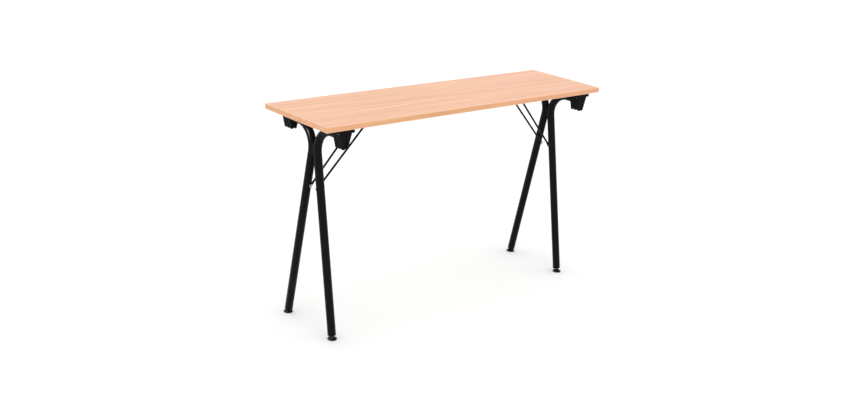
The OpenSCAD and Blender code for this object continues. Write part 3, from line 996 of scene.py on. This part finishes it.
def pan_screw(shank):
    """A pan-head screw that points up, with a cross recess; its head's seat is at the origin"""
    head, height, dome_radius = SCREW_HEAD, 2.2 * MM, 2.6 * MM
    rim, soft, point = 0.7 * MM, 0.12 * MM, 2.5 * MM
    dome = arc((0, dome_radius - height), dome_radius, -90, -35, 5)
    outline = dome + [(head, -rim), (head, -soft), (head - soft, 0), (SCREW_CORE, 0)]
    outline += [(SCREW_CORE, shank - point), (0, shank)]
    mesh = lathe(outline, 28)
    arm, wide, deep = 1.55 * MM, 0.34 * MM, 1.25 * MM
    for first, second in ((arm, wide), (wide, arm)):
        recess = extent((-first, -second, -height - MM), (first, second, -height + deep))
        mesh = carve(mesh, recess)
    return mesh


def screws_at(places, top, shank):
    """Copies of one pan-head screw at the given places on the right, mirrored to the left"""
    screw = pan_screw(shank)
    copies = []
    for end in ENDS:
        for x, y in places:
            copies.append(moved(screw.copy(), Matrix.Translation((ENDS[end] * x, y, top))))
    screw.free()
    return merged(copies)


# ---- stay catches ----


def bent_strip(points, width, thick, bend, edge=0.15 * MM):
    """A strip of sheet metal folded along its side view, (x, z) on its middle surface"""
    mesh = bmesh.new()
    verts = [mesh.verts.new((x, -width / 2, z)) for x, z in points]
    edges = [mesh.edges.new(pair) for pair in zip(verts, verts[1:])]
    made = bmesh.ops.extrude_edge_only(mesh, edges=edges)["geom"]
    far = [item for item in made if isinstance(item, bmesh.types.BMVert)]
    bmesh.ops.translate(mesh, vec=(0, width, 0), verts=far)
    folds = [item for item in mesh.edges if len(item.link_faces) == 2]
    soften(mesh, bend, 5, folds)
    bmesh.ops.recalc_face_normals(mesh, faces=mesh.faces)
    mesh = thickened(mesh, thick)
    soften(mesh, edge, 2)
    return mesh


def catch_plate():
    """The right catch: a plate under the board, its stop wall and the lip under the bar"""
    thick, bend, hole_depth, slot_room = sizes().catch_thick, 2.2 * MM, 9 * MM, 0.6 * MM
    half = thick / 2
    wall = CATCH_LOW.x + CATCH_LIP + half
    plate_z, lip_z = UNDER_Z - half, CATCH_LOW.z + half
    width = CATCH_HIGH.y - CATCH_LOW.y
    points = [(CATCH_HIGH.x, plate_z), (wall, plate_z), (wall, lip_z), (CATCH_LOW.x, lip_z)]
    mesh = bent_strip(points, width, thick, bend)
    slot = (LEAF_HIGH.y - LEAF_LOW.y) / 2 + MM
    low = (CATCH_LOW.x - MM, -slot, LEAF_HIGH.z - sizes().leaf_thick - MM)
    high = (wall + half + slot_room, slot, UNDER_Z + MM)
    return carve(mesh, extent(low, high), screw_holes(catch_screw_places(), hole_depth))


def catch_leaf():
    """The right leaf spring over the bar, with the nose that the bar snaps past"""
    half = sizes().leaf_thick / 2
    nose_reach, nose_run, bend, edge = 12 * MM, 4.25 * MM, 1.6 * MM, 0.12 * MM
    bar_x = STAY_LOW.x + sizes().wire_radius
    nose, tip = bar_x - nose_reach, LEAF_LOW.x
    top, low = LEAF_HIGH.z - half, LEAF_LOW.z + half
    points = [(LEAF_HIGH.x, top), (nose + nose_run, top), (nose, low), (tip, top - MM)]
    return bent_strip(points, LEAF_HIGH.y - LEAF_LOW.y, 2 * half, bend, edge)


def catch_screw_places():
    """Places of the right catch's two screws"""
    from_wall, from_end = 9 * MM, 8 * MM
    wall = CATCH_LOW.x + CATCH_LIP + sizes().catch_thick
    return [(wall + from_wall, 0), (CATCH_HIGH.x - from_end, 0)]


# ---- feet ----


def foot_plug():
    """The right rear plug: a rim under the tube's end and a sleeve inside it"""
    line = LegLine()
    outer, inner = sizes().tube_radius, sizes().tube_radius - sizes().tube_wall - SEAT_GAP
    gap, rim, soft, chamfer = sizes().foot_gap, 2 * MM, 0.7 * MM, MM
    top, ceiling = gap + 30 * MM, gap + 28 * MM
    bore, low = sizes().stem_radius + RUN_FIT, gap - rim
    outline = [(0, ceiling), (bore, ceiling), (bore, low), (outer - soft, low)]
    outline += arc((outer - soft, low + soft), soft, -60, 0, 3)
    outline += [(outer, gap), (inner, gap), (inner, top - chamfer), (inner - chamfer, top)]
    outline.append((0, top))
    return lathe(outline, 48, line.frame)


def threaded_stem():
    """The right rear stem: one helical thread, swept by a spin that climbs one pitch"""
    line = LegLine()
    radius, pitch = sizes().stem_radius, sizes().thread_pitch
    root, half_crest = radius - 0.6 * pitch, 0.125
    turns, steps, foot = 27, 20, 5.5 * MM
    profile = ((root, 0), (radius, 0.5 - half_crest), (radius, 0.5 + half_crest))
    mesh = bmesh.new()
    verts = []
    for turn in range(turns):
        for out, share in profile:
            verts.append(mesh.verts.new((out, 0, (turn + share) * pitch)))
    verts.append(mesh.verts.new((root, 0, turns * pitch)))
    edges = [mesh.edges.new(pair) for pair in zip(verts, verts[1:])]
    bmesh.ops.spin(
        mesh,
        geom=verts + edges,
        cent=(0, 0, 0),
        axis=(0, 0, 1),
        dvec=(0, 0, pitch / steps),
        angle=math.tau,
        steps=steps,
    )
    bmesh.ops.remove_doubles(mesh, verts=mesh.verts, dist=0.001 * MM)
    for low in (True, False):
        edges = [edge for edge in mesh.edges if edge.is_boundary]
        rim = [edge for edge in edges if (edge.verts[0].co.z < turns * pitch / 2) == low]
        bmesh.ops.holes_fill(mesh, edges=rim, sides=0)
    return moved(mesh, line.frame @ Matrix.Translation((0, 0, foot)))


def glide_pad():
    """The right rear pad: a rounded disc, its hub, a collar and a shallow sole"""
    rim, height = 4.5 * MM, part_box("right_rear_pad")[1].z
    radius, soft = PAD_RADIUS, 1.5 * MM
    hub_low, hub_top, collar, fillet = 11 * MM, 7 * MM, 0.5 * MM, 0.4 * MM
    hollow, hollow_edge, sole_edge = 0.5 * MM, radius - 5 * MM, radius - 4.2 * MM
    outline = [(0, hollow), (hollow_edge, hollow), (sole_edge, 0), (radius - soft, 0)]
    outline += arc((radius - soft, soft), soft, -70, 0, 4)
    outline += arc((radius - soft, rim - soft), soft, 0, 90, 5)
    outline += [(hub_low + 2 * fillet, rim), (hub_low, rim + fillet)]
    outline += [(hub_top + 0.6 * MM, height - 1.1 * MM)]
    outline += arc((hub_top - collar, height - collar), collar, 20, 90, 3)
    outline.append((0, height))
    return lathe(outline, 56, Matrix.Translation((FRAME_X, FOOT_Y, 0)))


# ---- operators ----


class StageOperator(bpy.types.Operator):
    """Sets up the floor, the soft lights and the camera"""

    bl_idname = "folding_table.stage"
    bl_label = "Stage"
    bl_options = {"REGISTER", "UNDO"}

    def execute(self, context):
        daylight, floor_radius, strip_length = 1.06, 60, 2.4
        scene = context.scene
        scene.view_settings.view_transform = "Standard"
        world = bpy.data.worlds.new("soft_daylight")
        world.use_nodes = True
        sky = world.node_tree.nodes["Background"]
        sky.inputs["Color"].default_value = (1, 1, 1, 1)
        sky.inputs["Strength"].default_value = daylight
        scene.world = world
        floor_mesh = bmesh.new()
        bmesh.ops.create_circle(floor_mesh, cap_ends=True, segments=64, radius=floor_radius)
        data = bpy.data.meshes.new("floor")
        floor_mesh.to_mesh(data)
        floor_mesh.free()
        data.materials.append(finish_for(floor_paint))
        floor = bpy.data.objects.new("floor", data)
        scene.collection.objects.link(floor)
        self.soft_light(scene, "key", (-1.5, -3.2, 2.0), 0.8, 8)
        self.soft_light(scene, "side", (3.6, -2.2, 2.2), 1.2, 8)
        self.soft_light(scene, "rim", (-0.6, 3.2, 2.8), 0.9, 8)
        strip = self.soft_light(scene, "strip", (-3.2, 0.0, 2.3), 0.3, 420)
        strip.data.shape, strip.data.size_y = "RECTANGLE", strip_length
        strip.visible_diffuse = False
        self.camera(scene)
        return {"FINISHED"}

    @staticmethod
    def soft_light(scene, name, place, width, power):
        """A square soft box that looks at the table"""
        lamp = bpy.data.lights.new(name, "AREA")
        lamp.shape, lamp.size, lamp.energy = "SQUARE", width, power
        box = bpy.data.objects.new(name, lamp)
        box.location = place
        aim = Vector((0, 0, 0.5)) - Vector(place)
        box.rotation_mode = "QUATERNION"
        box.rotation_quaternion = aim.to_track_quat("-Z", "Y")
        scene.collection.objects.link(box)
        return box

    @staticmethod
    def camera(scene):
        """A camera to the left of the front, a little above the top"""
        azimuth, elevation, roll = (math.radians(angle) for angle in (-42.203, 18.846, 3.871))
        distance, target = 3.8456, Vector((-0.0337, 0, 0.3396))
        focal_length, sensor_width = 44.926, 36
        flat = Vector((math.sin(azimuth), -math.cos(azimuth), 0))
        back = flat * math.cos(elevation) + Vector((0, 0, math.sin(elevation)))
        level = Vector((math.cos(azimuth), math.sin(azimuth), 0))
        upward = back.cross(level)
        right = level * math.cos(roll) + upward * math.sin(roll)
        lens = bpy.data.cameras.new("camera")
        lens.lens, lens.sensor_width = focal_length, sensor_width
        view = bpy.data.objects.new("camera", lens)
        axes = Matrix((right, back.cross(right), back)).transposed().to_4x4()
        view.matrix_world = Matrix.Translation(target + back * distance) @ axes
        scene.collection.objects.link(view)
        scene.camera = view


class BoardOperator(bpy.types.Operator):
    """Gives the board, its laminate, its backing and the hidden caps their finishes"""

    bl_idname = "folding_table.board"
    bl_label = "Board"
    bl_options = {"REGISTER", "UNDO"}

    def execute(self, context):
        repaint("top_laminate", "beech_laminate")
        repaint("board_core", "particle_board")
        repaint("backing_sheet", "backing_sheet")
        for end in ENDS:
            repaint(f"{end}_pivot_caps", "black_plastic")
        return {"FINISHED"}


class EdgeBandOperator(bpy.types.Operator):
    """Models the four edge bands"""

    bl_idname = "folding_table.edge_bands"
    bl_label = "Edge Bands"
    bl_options = {"REGISTER", "UNDO"}

    def execute(self, context):
        bands = {
            "front": (Vector((0, -1, 0)), long_edge_band),
            "rear": (Vector((0, 1, 0)), long_edge_band),
            "left": (Vector((-1, 0, 0)), end_edge_band),
            "right": (Vector((1, 0, 0)), end_edge_band),
        }
        for name, (outward, maker) in bands.items():
            node = f"{name}_edge_band"
            mesh = edge_band(node, outward)
            piece(f"{name}_band", mesh, "table_top", "beech_edge_band", [node], maker)
        return {"FINISHED"}


class CornerBlockOperator(bpy.types.Operator):
    """Models the four corner blocks that hold the frames"""

    bl_idname = "folding_table.corner_blocks"
    bl_label = "Corner Blocks"
    bl_options = {"REGISTER", "UNDO"}

    def execute(self, context):
        block = corner_block()
        for end, side in four_corners():
            name = f"{end}_{side}"
            mesh = mirrored(block, end, side)
            piece(f"{name}_corner_block", mesh, "table_top", "black_plastic", [f"{name}_block"])
        block.free()
        return {"FINISHED"}


class ScrewOperator(bpy.types.Operator):
    """Models the pan-head screws of the blocks and the catches"""

    bl_idname = "folding_table.screws"
    bl_label = "Wood Screws"
    bl_options = {"REGISTER", "UNDO"}

    def execute(self, context):
        under_blocks = [(x, side * y) for x, y in block_screw_places() for side in (1, -1)]
        seat = BLOCK_HIGH.z - sizes().flange_thick
        mesh = screws_at(under_blocks, seat, BLOCK_SCREW_LENGTH)
        piece("corner_block_screws", mesh, "table_top", "zinc_plate", ["block_screws"])
        seat = LEAF_HIGH.z - sizes().leaf_thick
        mesh = screws_at(catch_screw_places(), seat, CATCH_SCREW_LENGTH)
        piece("stay_catch_screws", mesh, "table_top", "zinc_plate", ["catch_screws"])
        return {"FINISHED"}


class CatchOperator(bpy.types.Operator):
    """Models the stay catches with their leaf springs"""

    bl_idname = "folding_table.catches"
    bl_label = "Stay Catches"
    bl_options = {"REGISTER", "UNDO"}

    def execute(self, context):
        plate, leaf = catch_plate(), catch_leaf()
        for end in ENDS:
            shape = mirrored(plate, end)
            piece(f"{end}_catch_plate", shape, "table_top", "zinc_plate", [f"{end}_catch"])
            shape = mirrored(leaf, end)
            node = f"{end}_catch_leaf"
            piece(f"{end}_leaf_spring", shape, "table_top", "spring_steel", [node])
        plate.free()
        leaf.free()
        return {"FINISHED"}


class LegOperator(bpy.types.Operator):
    """Models the four leg tubes and the welds that join them in pairs"""

    bl_idname = "folding_table.legs"
    bl_label = "Leg Frames"
    bl_options = {"REGISTER", "UNDO"}

    def execute(self, context):
        tube = leg_tube()
        for end, side in four_corners():
            name = f"{end}_{side}"
            mesh = mirrored(tube, end, side)
            piece(f"{name}_leg", mesh, f"{end}_frame", "black_powder_coat", [f"{name}_tube"])
        tube.free()
        bead = weld_bead()
        opposite = Matrix.Translation((2 * FRAME_X, 0, 0)) @ Matrix.Diagonal((-1, 1, 1, 1))
        beads = merged([bead.copy(), moved(bead, opposite)])
        for end in ENDS:
            mesh = mirrored(beads, end)
            node = f"{end}_weld_beads"
            piece(f"{end}_welds", mesh, f"{end}_frame", "black_powder_coat", [node])
        beads.free()
        return {"FINISHED"}


class StayOperator(bpy.types.Operator):
    """Models the wire stays, their threaded inserts and their shoulder screws"""

    bl_idname = "folding_table.stays"
    bl_label = "Stays"
    bl_options = {"REGISTER", "UNDO"}

    def execute(self, context):
        wire = stay_wire()
        insert, screw = both_sides(stay_insert()), both_sides(shoulder_screw())
        for end in ENDS:
            body = f"{end}_frame"
            shape = mirrored(wire, end)
            piece(f"{end}_stay_rod", shape, f"{end}_stay_wire", "black_wire", [f"{end}_stay"])
            shape = mirrored(insert, end)
            piece(f"{end}_inserts", shape, body, "black_powder_coat", [f"{end}_stay_inserts"])
            shape = mirrored(screw, end)
            piece(f"{end}_stay_bolts", shape, body, "zinc_plate", [f"{end}_stay_screws"])
        for mesh in (wire, insert, screw):
            mesh.free()
        return {"FINISHED"}


class FootOperator(bpy.types.Operator):
    """Models the plugs, the threaded stems and the glide pads"""

    bl_idname = "folding_table.feet"
    bl_label = "Feet"
    bl_options = {"REGISTER", "UNDO"}

    def execute(self, context):
        plug, stem, pad = both_sides(foot_plug()), threaded_stem(), glide_pad()
        for end in ENDS:
            shape = mirrored(plug, end)
            node = f"{end}_foot_plugs"
            piece(f"{end}_tube_plugs", shape, f"{end}_frame", "black_plastic", [node])
        for end, side in four_corners():
            name = f"{end}_{side}"
            body = f"{name}_glide"
            shape = mirrored(stem, end, side)
            piece(f"{name}_level_stem", shape, body, "zinc_plate", [f"{name}_stem"])
            shape = mirrored(pad, end, side)
            piece(f"{name}_glide_pad", shape, body, "pad_plastic", [f"{name}_pad"])
        for mesh in (plug, stem, pad):
            mesh.free()
        return {"FINISHED"}


class TablePanel(bpy.types.Panel):
    """Lists the table's operators, sizes and colours"""

    bl_idname = "VIEW3D_PT_folding_table"
    bl_label = "Folding Table"
    bl_space_type = "VIEW_3D"
    bl_region_type = "UI"
    bl_category = "Folding Table"

    def draw(self, context):
        """Draws the buttons and the settings"""
        for operator in OPERATORS:
            self.layout.operator(operator.bl_idname)
        for group in (context.scene.table_sizes, context.scene.table_colours):
            column = self.layout.column(align=True)
            for name in group.__annotations__:
                column.prop(group, name)


OPERATORS = (
    StageOperator,
    BoardOperator,
    EdgeBandOperator,
    CornerBlockOperator,
    ScrewOperator,
    CatchOperator,
    LegOperator,
    StayOperator,
    FootOperator,
)
CLASSES = (TableSizes, TableColours, *OPERATORS, TablePanel)


def register():
    """Registers the classes and the scene's settings"""
    for item in CLASSES:
        bpy.utils.register_class(item)
    bpy.types.Scene.table_sizes = bpy.props.PointerProperty(type=TableSizes)
    bpy.types.Scene.table_colours = bpy.props.PointerProperty(type=TableColours)


def unregister():
    """Removes the settings and the classes"""
    del bpy.types.Scene.table_colours
    del bpy.types.Scene.table_sizes
    for item in reversed(CLASSES):
        bpy.utils.unregister_class(item)


def main():
    """Builds the whole table"""
    register()
    for operator in OPERATORS:
        group, name = operator.bl_idname.split(".")
        getattr(getattr(bpy.ops, group), name)()


if __name__ == "__main__":
    main()
